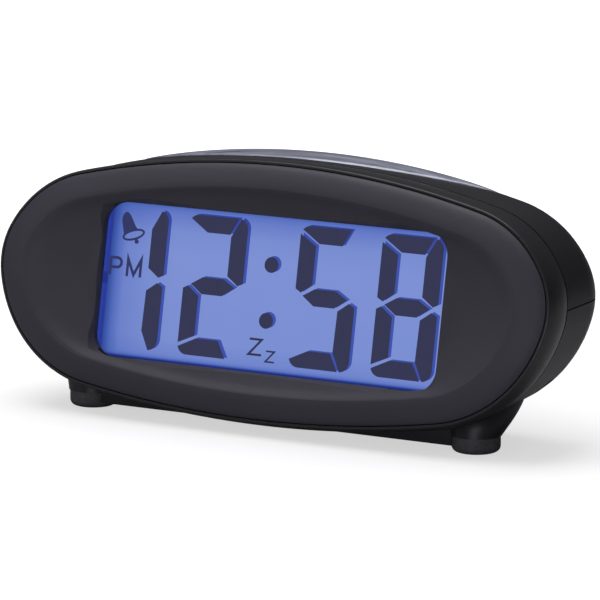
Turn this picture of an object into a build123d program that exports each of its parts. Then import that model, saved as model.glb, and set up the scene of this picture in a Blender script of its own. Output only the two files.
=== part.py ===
from build123d import *

import os
from math import cos, radians, sin

# Battery alarm clock with a large backlit LCD, in millimetres.
# +X is the clock's right seen from the front, +Y runs to the back, +Z is up.
# The origin is on the table, under the middle of the clock.

# ---------------------------------------------------------------- driving sizes
FACE_Y = -16.6  # middle of the face outline, measured from the origin
FACE_Z = 36.3
FACE_LEAN = 11.5  # the face leans back by this many degrees
SEAM_BACK = 10.4  # front ring's depth along +Y
SEAM_DROP = 1.2
BACK_DEPTH = 37.6  # flat rear wall behind the face
BACK_DROP = 0.5
BACK_LEAN = 6.0
BACK_RADIUS = 13.0  # round edge between the rear wall and the sides
PARTING_Z = 38.0  # top and bottom shells meet here
WALL = 2.0
TOUCH = 0.05  # assembly gap between pieces that rest on each other
FIT = 0.15  # clearance around a piece that slides or drops in

# face outline: arcs that run into each other, from the top clockwise
OVAL_TOP = 33.5
TOP_ARC = (250.0, 13.7)  # radius, degrees from the middle of the top
SIDE_ARCS = [(29.5, 24.0), (29.5, 23.7), (19.2, 40.9), (34.0, 30.0), (34.0, 38.0)]

# growth of that outline at each station of the housing and the body
LIP_GROW = 0.8
BULGE_GROW = 1.5
SEAM_GROW = 0.9
BACK_GROW = 0.1

# heights above the face plane (negative is into the clock)
LIP_TOP = -0.4
BULGE = -4.6
BEZEL_EDGE = -0.3
RIDGE = 2.2
WINDOW_EDGE = -1.3
BEZEL_BACK = -2.5
HOUSING_FRONT = -2.6
HOUSING_INSIDE = -4.2
LENS_FRONT = -3.2
LENS_BACK = -4.2
FRONT_GLASS = -4.3
SEGMENT_LAYER = -5.02
REAR_GLASS = -5.12
LIGHT_GUIDE = -6.0
REFLECTOR = -8.45
HOLDER_FRONT = -4.3
HOLDER_FLOOR = -8.7
HOLDER_BACK = -9.95
BOARD_FRONT = -10.0
BOARD = 1.6

# bezel's section: height and growth of the outline up to the crest, then height and share of the crest
BAND = [(BEZEL_EDGE, -0.15), (0.8, -1.4), (1.5, -3.1), (2.05, -4.9), (RIDGE, -6.3)]
CREST_GROW = -6.3
DISH = [(RIDGE, 1), (2.05, 0.985), (1.35, 0.955), (0.35, 0.9), (-0.45, 0.82), (-0.95, 0.74), (-1.3, 0.64)]
CREST_NARROWING = 0.978  # crest and dish are this much shorter than the outline's own offset

WINDOW = (101.7, 40.6)
WINDOW_CORNER = 6.0
BEVEL_RISE = 2.0  # the bevel round the window rises past the dish
BEVEL_SLOPE = 37.0
LENS_OVERLAP = 1.4
LIP_WALL = 2.6

# display glass and what lies behind it
GLASS = (108.0, 45.2)
GLASS_RISE = 0.6
REAR_GLASS_HEIGHT = 42.8
CONTACT_ROW = 22.0  # height of the contact ledge above the window's middle
GUIDE = (102.0, 42.0)

# display figures
DIGIT = (17.7, 36.6)
DIGIT_CORNER = 2.8
DIGIT_CENTRES = [-42.5, -18.55, 14.85, 38.85]
DIGIT_RISE = 0.55
SHOWN = ["bc", "abged", "afgcd", "abcdefg"]
COLON = (-1.75, 7.25)

# screws that hold the display stack to the housing
STACK_SCREW = (58.5, 11.0)
STACK_BOSS = 2.6

# snooze bar, an eye shape seen from above
EYE_HALF = 53.5
EYE_FRONT = 20.0
EYE_TIP = 28.2
EYE_REAR = 33.6
EYE_STRETCH = 4.0  # the sharp ends move this much for each unit of growth
SNOOZE_SHELL = 1.0  # depth of the bar's underside below the skin
SNOOZE_CROWN = 4.6  # how much the bar's surface rises over its underside by the rear wall
SNOOZE_TRAVEL = 1.0
SNOOZE_BOARD_Z = 54.8
SNOOZE_POST = (38.0, 20.0, 34.0)
SNOOZE_KEY_X = 14.0
SNOOZE_KEY = 6.8
SNOOZE_SPRING = 7.0
SPRING_X = 26.0
SNOOZE_MID = 27.5

# rear controls, on the rear wall
CONTROL_RISE = 11.5
BUTTON_X = {"time_set_button": 24.0, "alarm_set_button": 13.0, "hour_button": 2.0, "minute_button": -9.0}
BUTTON_TRAVEL = 0.5
SWITCH_X = -23.0
SWITCH_TRAVEL = 3.0
CONTROL_BOARD = 9.6  # depth of the control board under the rear wall's skin
CONTROL_BOSS_X = 33.3

# buzzer, on the rear wall
BUZZER = (-56.0, -10.5)
BUZZER_R = 10.0

# battery bay, on the underside
BAY_X = 24.9
BAY_FRONT = 8.7
BAY_REAR = 31.4
BAY_TOP = 17.6
BAY_WALL = 1.5
DOOR_X = 24.0
DOOR_FRONT = 10.2
DOOR_REAR = 30.9
DOOR_HINGE_Z = 2.8  # the door swings about its front edge
DOOR_REACH = 20.9
CELL_R = 5.25
CELL_LENGTH = 43.5
CELL_NUB = 1.0
CELL_Z = 12.2
CELL_BACK = [14.2, 24.9]
CONTACT = 0.35  # thickness of the contact plates

# case screws
EAR_SCREW = (68.5, 23.5)
REAR_SCREW = (60.0, 26.5)
EAR_Z = 34.0
EAR_THICK = 2.5
SCREW_R = 1.3
HEAD_R = 2.5

# small features
GROOVE = 0.4  # shadow groove along each seam
PEG = (67.0, 6.5)  # bezel pegs
PEG_R = 1.2
STACK_FLANGE = -8.35
SNOOZE_BOARD = 1.2
SNOOZE_SWITCH = 2.6
BUTTON = (7.0, 4.6, 1.2)
SWITCH_KNOB = (4.0, 2.6)
SCREW_SEAT = 31.0

# feet
STUD_R = 2.5
FOOT_R = 6.3
FOOT_HEIGHT = 4.3
FRONT_FOOT = (57.2, 8.5)
REAR_FOOT = (46.5, 27.0)
# legs above the feet: rise over the foot, radius, how far the leg has leaned back
FRONT_LEG = [(0, 6.6, 0), (1.5, 7.3, 1), (4, 8.4, 2.8), (7.2, 9.2, 5.4), (9.5, 9.6, 6.6), (13.7, 9.6, 7)]
REAR_LEG = [(0, 6.6, 0), (3.2, 7.4, 0), (9.6, 8.5, 0)]
SKIRT_Z = 1.6  # flat underside of the skirt between the front feet
SKIRT = (4.2, 9.0)
SKIRT_X = 57.0
FEET = [(side * x, y) for x, y in (FRONT_FOOT, REAR_FOOT) for side in (-1, 1)]


# ---------------------------------------------------------------- planes
def upright_plane(back, height, lean):
    """Plane across the clock that faces the front, its top leaning back."""
    facing = (0, -cos(radians(lean)), sin(radians(lean)))
    return Plane(origin=(0, FACE_Y + back, height), x_dir=(1, 0, 0), z_dir=facing)


FACE = upright_plane(0, FACE_Z, FACE_LEAN)
SEAM = upright_plane(SEAM_BACK, FACE_Z - SEAM_DROP, FACE_LEAN)
BACK = upright_plane(BACK_DEPTH, FACE_Z - BACK_DROP, BACK_LEAN)


def level(height):
    """Horizontal plane at a height, with its origin under the face."""
    return Plane(origin=(0, FACE_Y, height))


# ---------------------------------------------------------------- outlines
def close_arcs(top_arc, side_arcs):
    """All the arcs of the face outline: the bottom arc is the one that closes it."""
    radius, turned = top_arc
    across = radius * sin(radians(turned))
    for side_radius, turn in side_arcs:
        across += side_radius * (sin(radians(turned + turn)) - sin(radians(turned)))
        turned += turn
    rest = 180 - turned
    bottom = (across / sin(radians(rest)), 2 * rest)
    return [(radius, 2 * top_arc[1]), *side_arcs, bottom, *reversed(side_arcs)]


OVAL_ARCS = close_arcs(TOP_ARC, SIDE_ARCS)


def tangent_ring(start, heading, moves):
    """Face bounded by straights (length, 0) and arcs (radius, turn), clockwise from start."""
    point = start
    with BuildLine() as ring:
        for size, turn in moves:
            direction = Vector(cos(radians(heading)), sin(radians(heading)))
            if turn:
                edge = JernArc(start=point, tangent=direction, radius=size, arc_size=-turn)
            else:
                edge = Line(point, Vector(point) + direction * size)
            point = edge @ 1
            heading -= turn
    make_face(ring.edges())


def oval(grow, narrowing=1.0):
    """The face outline, moved outwards by grow and drawn in sideways."""
    radius = TOP_ARC[0] + grow
    lean = radians(TOP_ARC[1])
    start = (-radius * sin(lean), OVAL_TOP + grow - radius * (1 - cos(lean)))
    tangent_ring(start, TOP_ARC[1], [(size + grow, turn) for size, turn in OVAL_ARCS])
    if narrowing < 1:
        scale(by=(narrowing, 1, 1), mode=Mode.REPLACE)


def window(grow):
    """The display window, a rectangle with round corners, moved outwards by grow."""
    width, height = WINDOW
    flat_x = width - 2 * WINDOW_CORNER
    flat_y = height - 2 * WINDOW_CORNER
    corner = (WINDOW_CORNER + grow, 90)
    half = [(flat_x, 0), corner, (flat_y, 0), corner]
    tangent_ring((-flat_x / 2, height / 2 + grow), 0, half + half)


# ---------------------------------------------------------------- helper solids
def body_block(grow, crown=0.0):
    """Everything inside the rear body's skin, moved outwards by grow and by crown more at the rear."""
    with BuildPart() as block:
        with BuildSketch(SEAM):
            oval(SEAM_GROW + grow)
        with BuildSketch(BACK.offset(-grow)):
            oval(BACK_GROW + grow + crown)
        loft(ruled=True)
        rear_wall = block.faces().sort_by(Axis.Y)[-1]
        fillet(rear_wall.edges(), radius=BACK_RADIUS + grow)
    return block.part


def front_block(grow):
    """Everything inside the front ring's skin, with the skin moved outwards by grow."""
    with BuildPart() as block:
        with BuildSketch(FACE.offset(LIP_TOP)):
            oval(LIP_GROW + grow)
        with BuildSketch(FACE.offset(BULGE)):
            oval(BULGE_GROW + grow)
        with BuildSketch(SEAM):
            oval(SEAM_GROW + grow)
        loft()
    return block.part


def eye_prism(grow):
    """Upright prism over the snooze bar's plan, moved outwards by grow."""
    tip = EYE_HALF + EYE_STRETCH * grow
    with BuildPart() as prism:
        with BuildSketch(level(PARTING_Z + 12)) as plan:
            with BuildLine():
                ThreePointArc((-tip, EYE_TIP), (0, EYE_REAR + grow), (tip, EYE_TIP))
                ThreePointArc((tip, EYE_TIP), (0, EYE_FRONT - grow), (-tip, EYE_TIP))
            make_face()
            fillet(plan.vertices(), radius=1.2 + grow)
        extrude(amount=30)
    return prism.part


def columns(plane, points, radius, length, mode=Mode.ADD):
    """Round columns that rise from a plane, for the part being built."""
    with BuildSketch(plane) as ends:
        with Locations(*points):
            Circle(radius)
    extrude(ends.sketch, amount=length, mode=mode)


def slab(plane, width, height, length, centre=(0, 0), corner=0.0, mode=Mode.ADD):
    """Flat plate that rises from a plane, for the part being built."""
    with BuildSketch(plane) as outline:
        with Locations(centre):
            if corner:
                RectangleRounded(width, height, corner)
            else:
                Rectangle(width, height)
    extrude(outline.sketch, amount=length, mode=mode)


def screw_set(plane, points, length, head=1.4):
    """Pan-head screws: the heads stand on the plane, and the shanks run the other way."""
    with BuildPart() as screw:
        Cylinder(HEAD_R, head, align=(Align.CENTER, Align.CENTER, Align.MIN))
        fillet(screw.edges().sort_by(Axis.Z)[-1], radius=0.5)
        slab(Plane.XY.offset(head), HEAD_R * 1.1, 0.6, -head / 2, mode=Mode.SUBTRACT)
        slab(Plane.XY.offset(head), 0.6, HEAD_R * 1.1, -head / 2, mode=Mode.SUBTRACT)
        columns(Plane.XY, [(0, 0)], SCREW_R, -length)
        chamfer(screw.edges().sort_by(Axis.Z)[0], length=0.6)
    with BuildPart() as screws:
        with Locations(plane):
            with Locations(*points):
                add(screw.part)
    return screws.part


def coil(height, turns, radius, wire_radius, cone=0.0):
    """Coil spring that stands on the XY plane."""
    with BuildPart() as spring:
        with BuildLine() as path:
            Helix(pitch=height / turns, height=height, radius=radius, cone_angle=cone)
        with BuildSketch(Plane(origin=path.line @ 0, z_dir=path.line % 0)) as wire:
            Circle(wire_radius)
        sweep(wire.sketch, path=path.line)
    return spring.part


def copies(piece, plane, points):
    """The same piece at several places on a plane, as separate solids."""
    with BuildPart() as group:
        with Locations(plane):
            with Locations(*points):
                add(piece)
    return group.part


def lead(start, *through, radius=0.6):
    """Insulated wire that curves through the given points."""
    with BuildPart() as wire:
        with BuildLine() as path:
            Spline(start, *through)
        with BuildSketch(Plane(origin=path.line @ 0, z_dir=path.line % 0)) as end:
            Circle(radius)
        sweep(end.sketch, path=path.line)
    return wire.part


def tact_switch(plunger_height):
    """Push switch that stands on the XY plane: square body, metal frame and round plunger."""
    with BuildPart() as switch:
        slab(Plane.XY, 6.0, 6.0, plunger_height - 1.0, corner=0.4)
        columns(Plane.XY.offset(plunger_height - 1.0), [(0, 0)], 1.75, 1.0)
        columns(Plane.XY.offset(plunger_height - 1.0), four(2.3, 2.3), 0.4, 0.15)
    return switch.part


def mirrored(x, y):
    """A point and its mirror image across the clock's middle."""
    return [(x, y), (-x, y)]


def four(x, y):
    """The four corners of a rectangle about the origin."""
    return [(x, y), (-x, y), (x, -y), (-x, -y)]


def save(piece, name):
    """Label a finished piece and write its STEP file."""
    piece.label = name
    export_step(piece, f"parts/{name}.step")


os.makedirs("parts", exist_ok=True)


# ---------------------------------------------------------------- front bezel
def bezel_core():
    """Hollow behind the bezel's thick band, so that the moulding keeps an even wall."""
    with BuildPart() as core:
        with BuildSketch(FACE.offset(BEZEL_BACK)) as ring:
            oval(-2.4)
            with BuildSketch(mode=Mode.PRIVATE) as inside:
                oval(-9.5)
            add(inside.sketch, mode=Mode.SUBTRACT)
        extrude(ring.sketch, amount=1.3)
    return core.part


core = bezel_core()
with BuildPart() as dish:
    for height, share in DISH:
        with BuildSketch(FACE.offset(height)):
            oval(CREST_GROW, CREST_NARROWING)
            scale(by=share, mode=Mode.REPLACE)
    loft()

with BuildPart() as front_bezel:
    for height, grow in BAND:
        narrowing = 1 + (CREST_NARROWING - 1) * (height - BEZEL_EDGE) / (RIDGE - BEZEL_EDGE)
        with BuildSketch(FACE.offset(height)):
            oval(grow, narrowing)
    loft()
    with BuildSketch(FACE.offset(BEZEL_BACK)):
        oval(-FIT)
    extrude(amount=BEZEL_EDGE - BEZEL_BACK)
    add(dish.part, mode=Mode.SUBTRACT)
    with BuildSketch(FACE.offset(WINDOW_EDGE)) as opening:
        window(0)
    extrude(opening.sketch, amount=BEVEL_RISE, taper=-BEVEL_SLOPE, mode=Mode.SUBTRACT)
    with BuildSketch(FACE.offset(BEZEL_BACK)):
        window(LIP_WALL)
    extrude(amount=LENS_BACK - BEZEL_BACK)
    with BuildSketch(FACE.offset(WINDOW_EDGE)):
        window(0)
    extrude(amount=LENS_BACK - WINDOW_EDGE, mode=Mode.SUBTRACT)
    with BuildSketch(FACE.offset(LENS_BACK)):
        window(LENS_OVERLAP + FIT)
    extrude(amount=LENS_FRONT - LENS_BACK + TOUCH, mode=Mode.SUBTRACT)
    add(core, mode=Mode.SUBTRACT)
    columns(FACE.offset(BEZEL_BACK), four(*PEG), PEG_R, -2.6)
save(front_bezel.part, "front_bezel")


# ---------------------------------------------------------------- window lens
with BuildPart() as window_lens:
    with BuildSketch(FACE.offset(LENS_BACK)):
        window(LENS_OVERLAP)
    extrude(amount=LENS_FRONT - LENS_BACK)
    chamfer(window_lens.faces().sort_by(Axis.Y)[0].edges(), length=0.15)
save(window_lens.part, "window_lens")


# ---------------------------------------------------------------- front housing
ear_level = level(EAR_Z)
with BuildPart() as front_housing:
    add(front_block(0))
    rims = front_housing.faces().sort_by(Axis.Y)[0].edges()
    fillet(rims, radius=0.35)
    with BuildSketch(FACE.offset(0.5)):
        oval(0.15)
    extrude(amount=HOUSING_FRONT - 0.5, mode=Mode.SUBTRACT)
    with BuildSketch(FACE.offset(HOUSING_INSIDE)):
        oval(-0.6)
    with BuildSketch(SEAM):
        oval(SEAM_GROW - WALL)
    loft(ruled=True, mode=Mode.SUBTRACT)
    with BuildSketch(FACE.offset(HOUSING_FRONT)):
        window(LIP_WALL + 0.2)
    extrude(amount=HOUSING_INSIDE - HOUSING_FRONT, mode=Mode.SUBTRACT)
    columns(FACE.offset(HOUSING_FRONT), four(*PEG), PEG_R + TOUCH, -3, mode=Mode.SUBTRACT)
    columns(FACE.offset(HOUSING_INSIDE), four(*STACK_SCREW), STACK_BOSS, STACK_FLANGE - HOUSING_INSIDE)
    columns(FACE.offset(STACK_FLANGE), four(*STACK_SCREW), SCREW_R + TOUCH, 3.6, mode=Mode.SUBTRACT)
    for side in (-1, 1):
        ear_x, ear_y = EAR_SCREW
        slab(ear_level, 9, ear_y, EAR_THICK, centre=(side * ear_x, ear_y / 2 + 4), corner=1)
    columns(ear_level, mirrored(*EAR_SCREW), SCREW_R + TOUCH, EAR_THICK, mode=Mode.SUBTRACT)
save(front_housing.part, "front_housing")


# ---------------------------------------------------------------- body blocks and grooves
skin = body_block(0)
hollow = body_block(-WALL)
groove_floor = body_block(-GROOVE)
lip_skin = body_block(-WALL - 0.12)
lip_hollow = body_block(-WALL - 1.2)

with BuildPart() as seam_groove:
    with BuildSketch(SEAM) as ring:
        oval(SEAM_GROW + 1)
        with BuildSketch(mode=Mode.PRIVATE) as inside:
            oval(SEAM_GROW - GROOVE)
        add(inside.sketch, mode=Mode.SUBTRACT)
    extrude(ring.sketch, amount=-GROOVE)

with BuildPart() as parting_groove:
    slab(Plane.XY.offset(PARTING_Z), 200, 100, GROOVE)
    add(groove_floor, mode=Mode.SUBTRACT)

with BuildPart() as shell:
    add(skin)
    add(hollow, mode=Mode.SUBTRACT)
    add(seam_groove.part, mode=Mode.SUBTRACT)
upper_shell = split(shell.part, bisect_by=Plane.XY.offset(PARTING_Z), keep=Keep.TOP)
lower_shell = split(shell.part, bisect_by=Plane.XY.offset(PARTING_Z), keep=Keep.BOTTOM)


# ---------------------------------------------------------------- top shell
roof = 75
snooze_board_top = SNOOZE_BOARD_Z + SNOOZE_BOARD
snooze_posts = mirrored(SNOOZE_POST[0], SNOOZE_POST[1]) + mirrored(SNOOZE_POST[0], SNOOZE_POST[2])
control_boss = [(CONTROL_BOSS_X, CONTROL_RISE), (-CONTROL_BOSS_X, CONTROL_RISE)]
snooze_opening = eye_prism(0.25)
with BuildPart() as top_shell:
    columns(level(snooze_board_top), snooze_posts, 2.0, roof - snooze_board_top)
    columns(level(EAR_Z + EAR_THICK + TOUCH), mirrored(*EAR_SCREW), 3.4, roof - EAR_Z)
    columns(level(PARTING_Z), mirrored(*REAR_SCREW), 3.2, roof - PARTING_Z)
    columns(BACK, control_boss, 2.4, CONTROL_BOARD)
    add(skin, mode=Mode.INTERSECT)
    add(upper_shell)
    columns(level(snooze_board_top), snooze_posts, SCREW_R + TOUCH, 3.5, mode=Mode.SUBTRACT)
    columns(level(EAR_Z), mirrored(*EAR_SCREW), SCREW_R + TOUCH, 14.0, mode=Mode.SUBTRACT)
    columns(level(PARTING_Z), mirrored(*REAR_SCREW), SCREW_R + TOUCH, 12.0, mode=Mode.SUBTRACT)
    columns(BACK.offset(CONTROL_BOARD), control_boss, SCREW_R + TOUCH, -5.0, mode=Mode.SUBTRACT)
    add(parting_groove.part, mode=Mode.SUBTRACT)
    add(snooze_opening, mode=Mode.SUBTRACT)
    for x in BUTTON_X.values():
        opening = (x, CONTROL_RISE)
        width, height, corner = BUTTON
        slab(BACK.offset(-2), width + 2 * FIT, height + 2 * FIT, 6, opening, corner + FIT, Mode.SUBTRACT)
    slot = (SWITCH_X + SWITCH_TRAVEL / 2, CONTROL_RISE)
    width, height = SWITCH_KNOB
    slab(BACK.offset(-2), width + SWITCH_TRAVEL + 2 * FIT, height + 2 * FIT, 6, slot, 0.5, Mode.SUBTRACT)
save(top_shell.part, "top_shell")


# ---------------------------------------------------------------- bottom shell
with BuildPart() as bay_space:
    slab(level(0), 2 * BAY_X, BAY_REAR - BAY_FRONT, BAY_TOP, centre=(0, (BAY_FRONT + BAY_REAR) / 2))
    add(hollow, mode=Mode.INTERSECT)

with BuildPart() as battery_bay:
    bay_depth = BAY_REAR - BAY_FRONT + 2 * BAY_WALL
    bay_middle = (0, (BAY_FRONT + BAY_REAR) / 2)
    slab(level(0), 2 * (BAY_X + BAY_WALL), bay_depth, BAY_TOP + BAY_WALL, centre=bay_middle)
    add(skin, mode=Mode.INTERSECT)
    add(bay_space.part, mode=Mode.SUBTRACT)

with BuildPart() as register_lip:
    slab(Plane.XY.offset(PARTING_Z - 3), 200, 100, 4.5)
    add(lip_skin, mode=Mode.INTERSECT)
    slab(Plane.XY.offset(PARTING_Z - 3), 200, 100, 2.2)
    add(body_block(-WALL + 0.3), mode=Mode.INTERSECT)
    add(lip_hollow, mode=Mode.SUBTRACT)

housing_envelope = front_block(0.2)
with BuildPart() as legs:
    for foot_place, stations in ((FRONT_FOOT, FRONT_LEG), (REAR_FOOT, REAR_LEG)):
        for x, y in mirrored(*foot_place):
            for rise, radius, slant in stations:
                with BuildSketch(level(FOOT_HEIGHT + rise)):
                    with Locations((x, y + slant)):
                        Circle(radius)
            loft()
    skirt_depth = SKIRT[1] - SKIRT[0]
    skirt_middle = (0, (SKIRT[0] + SKIRT[1]) / 2)
    slab(level(SKIRT_Z), 2 * SKIRT_X, skirt_depth, FOOT_HEIGHT * 2, centre=skirt_middle)
    columns(level(0), FEET, FOOT_R + FIT, FOOT_HEIGHT, mode=Mode.SUBTRACT)
    add(housing_envelope, mode=Mode.SUBTRACT)
    add(hollow, mode=Mode.SUBTRACT)

lower_tubes = mirrored(*EAR_SCREW)
rear_tubes = mirrored(*REAR_SCREW)
with BuildPart() as bottom_shell:
    columns(level(0), lower_tubes, 3.6, EAR_Z)
    columns(level(0), rear_tubes, 3.6, PARTING_Z)
    columns(BACK, [BUZZER], BUZZER_R + 2.0, 5.0)
    columns(BACK, [BUZZER], BUZZER_R - 1.0, 5.0, mode=Mode.SUBTRACT)
    columns(BACK.offset(4.0), [BUZZER], BUZZER_R + 0.1, 1.5, mode=Mode.SUBTRACT)
    add(skin, mode=Mode.INTERSECT)
    add(lower_shell)
    add(legs.part)
    add(battery_bay.part)
    add(register_lip.part)
    columns(level(-1), lower_tubes + rear_tubes, HEAD_R + 0.2, SCREW_SEAT + 1, mode=Mode.SUBTRACT)
    columns(level(0), lower_tubes + rear_tubes, SCREW_R + TOUCH, PARTING_Z, mode=Mode.SUBTRACT)
    door_middle = (0, (DOOR_FRONT + DOOR_REAR) / 2)
    door_size = (2 * (DOOR_X + FIT), DOOR_REAR - DOOR_FRONT + 2 * FIT)
    slab(level(0), *door_size, CELL_Z, centre=door_middle, corner=1.5, mode=Mode.SUBTRACT)
    for step in range(-2, 3):
        slit = (BUZZER[0], BUZZER[1] + 2.6 * step)
        slab(BACK.offset(-2), 12 - abs(step) * 2, 1.1, 6, centre=slit, corner=0.5, mode=Mode.SUBTRACT)
    columns(level(FOOT_HEIGHT), FEET, STUD_R + TOUCH, 2.6, mode=Mode.SUBTRACT)
save(bottom_shell.part, "bottom_shell")


# ---------------------------------------------------------------- battery door
with BuildPart() as battery_door:
    slab(level(0), 2 * DOOR_X, DOOR_REAR - DOOR_FRONT, CELL_Z, centre=door_middle, corner=1.4)
    add(shell.part, mode=Mode.INTERSECT)
    with Locations((0, FACE_Y + DOOR_FRONT, DOOR_HINGE_Z)):
        Cylinder(DOOR_REACH, 4 * DOOR_X, rotation=(0, 90, 0), mode=Mode.INTERSECT)
    finger_groove = (0, DOOR_REAR - 4)
    slab(level(0), 14, 2.2, 4.3, centre=finger_groove, corner=1, mode=Mode.SUBTRACT)
    for x in (-15, 15):
        slab(level(4.6), 6, 2.2, 1.8, centre=(x, DOOR_FRONT + 1.2))
        slab(level(5.4), 6, 2.2, 1.0, centre=(x, DOOR_FRONT + 0.1))
save(battery_door.part, "battery_door")


# ---------------------------------------------------------------- feet
with BuildPart() as foot:
    Cylinder(FOOT_R, FOOT_HEIGHT - TOUCH, align=(Align.CENTER, Align.CENTER, Align.MIN))
    fillet(foot.edges().sort_by(Axis.Z)[0], radius=1.6)
    columns(Plane.XY.offset(FOOT_HEIGHT - TOUCH), [(0, 0)], STUD_R, 2.2)
save(copies(foot.part, level(0), mirrored(*FRONT_FOOT)), "front_feet")
save(copies(foot.part, level(0), mirrored(*REAR_FOOT)), "rear_feet")


# ---------------------------------------------------------------- snooze bar and its spring seat
snooze_plan = eye_prism(0)
with BuildPart() as snooze_bar:
    add(body_block(-SNOOZE_SHELL, SNOOZE_CROWN))
    add(snooze_plan, mode=Mode.INTERSECT)
    add(body_block(-SNOOZE_SHELL), mode=Mode.SUBTRACT)
save(snooze_bar.part, "snooze_bar")

flange_plan = eye_prism(1.0)
core_plan = eye_prism(-0.1)
key_points = mirrored(SNOOZE_KEY_X, SNOOZE_MID)
key_tip = SNOOZE_BOARD_Z + SNOOZE_BOARD + SNOOZE_SWITCH + SNOOZE_TRAVEL + 0.1
with BuildPart() as carrier_flange:
    add(body_block(-WALL - 0.2))
    add(flange_plan, mode=Mode.INTERSECT)
with BuildPart() as snooze_carrier:
    add(body_block(-SNOOZE_SHELL - TOUCH))
    add(core_plan, mode=Mode.INTERSECT)
    add(carrier_flange.part)
    add(body_block(-WALL - 1.5), mode=Mode.SUBTRACT)
    columns(level(key_tip), key_points, 2.0, SNOOZE_KEY)
save(snooze_carrier.part, "snooze_carrier")


# ---------------------------------------------------------------- snooze electronics
snooze_board_bottom = Plane(origin=(0, FACE_Y, SNOOZE_BOARD_Z), x_dir=(1, 0, 0), z_dir=(0, 0, -1))
with BuildPart() as snooze_board:
    board_depth = SNOOZE_POST[2] - SNOOZE_POST[1] + 4.6
    board_centre = (0, (SNOOZE_POST[1] + SNOOZE_POST[2]) / 2)
    slab(level(SNOOZE_BOARD_Z), 80.6, board_depth, SNOOZE_BOARD, centre=board_centre, corner=1.5)
    columns(level(SNOOZE_BOARD_Z), snooze_posts, SCREW_R + TOUCH, SNOOZE_BOARD, mode=Mode.SUBTRACT)
save(snooze_board.part, "snooze_board")
save(copies(tact_switch(SNOOZE_SWITCH), level(snooze_board_top), key_points), "snooze_switches")
spring_points = mirrored(SPRING_X, SNOOZE_MID)
spring = coil(SNOOZE_SPRING, 6, 2.0, 0.25)
save(copies(spring, level(snooze_board_top + 0.3), spring_points), "snooze_springs")
flipped_posts = [(x, -y) for x, y in snooze_posts]
save(screw_set(snooze_board_bottom, flipped_posts, 4.2), "snooze_board_screws")


# ---------------------------------------------------------------- display figures
SEGMENTS = {
    "a": [(-8.85, 17.6), (-8.85, 18.3), (6.0, 18.3), (3.7, 13.9), (-3.1, 13.9)],
    "b": [(6.75, 18.3), (8.85, 18.3), (8.85, 1.6), (7.35, 0.8), (4.05, 3.1), (4.05, 13.3)],
    "c": [(7.15, -0.6), (8.85, -1.5), (8.85, -18.3), (6.2, -18.3), (3.8, -13.4), (4.05, -2.8)],
    "d": [(5.6, -18.3), (-8.85, -18.3), (-8.85, -16.3), (-3.5, -13.8), (3.1, -13.8)],
    "e": [(-8.85, -1.0), (-7.45, -0.3), (-4.05, -2.75), (-4.05, -13.2), (-8.85, -15.3)],
    "f": [(-8.85, 16.1), (-4.05, 13.2), (-4.05, 3.2), (-7.2, 1.0), (-8.85, 1.9)],
    "g": [(-6.6, 0.25), (-3.15, 2.25), (3.0, 2.25), (6.5, 0.2), (2.9, -2.2), (-3.15, -2.2)],
}
SMALL_STROKE = 0.75
P_STROKES = [[(0, 0), (0, 4.6), (2.0, 4.6)], [(0, 2.1), (2.0, 2.1)]]
M_STROKES = [[(0, 0), (0, 4.6), (2.0, 0.5), (4.0, 4.6), (4.0, 0)]]
Z_STROKES = [[(0, 4.0), (3.6, 4.0), (0, 0), (3.8, 0)]]


def figure(letters):
    """One large figure: its lit segments, trimmed to the figure's round corners."""
    with BuildSketch() as lit:
        for letter in letters:
            Polygon(*SEGMENTS[letter], align=None)
        RectangleRounded(*DIGIT, DIGIT_CORNER, mode=Mode.INTERSECT)
    return lit.sketch


def strokes(paths, width, size=1.0):
    """Thin lettering drawn as straight strokes."""
    with BuildSketch() as drawn:
        for path in paths:
            with BuildLine() as pen:
                Polyline(*[(x * size, y * size) for x, y in path])
            trace(pen.edges(), line_width=width)
    return drawn.sketch


def half_ring(radius, width):
    """The bowl of a letter P: a half ring that opens to the left."""
    with BuildSketch() as bowl:
        Circle(radius + width / 2)
        Circle(radius - width / 2, mode=Mode.SUBTRACT)
        with Locations((-radius, 0)):
            Rectangle(2 * radius, 4 * radius, mode=Mode.SUBTRACT)
    return bowl.sketch


def bell():
    """Alarm symbol: a tilted bell with an open mouth and a clapper."""
    with BuildSketch() as symbol:
        with BuildLine() as dome:
            Spline((-2.6, -2.9), (-3.2, 0.2), (-3.1, 3.2), (-2.2, 3.8), (-1.1, 3.1), (0.4, 0.8), (3, -1))
            Line((3, -1), (-2.6, -2.9))
        make_face(dome.edges())
        with Locations((0.4, -2.0)):
            Ellipse(3.45, 1.45, rotation=17)
            Ellipse(2.85, 0.85, rotation=17, mode=Mode.SUBTRACT)
        with Locations((1.5, -3.7)):
            Circle(0.6)
    return symbol.sketch


# ---------------------------------------------------------------- display stack
with BuildPart() as lcd_front_glass:
    slab(FACE.offset(FRONT_GLASS), *GLASS, -0.7, centre=(0, GLASS_RISE))
save(lcd_front_glass.part, "lcd_front_glass")

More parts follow.
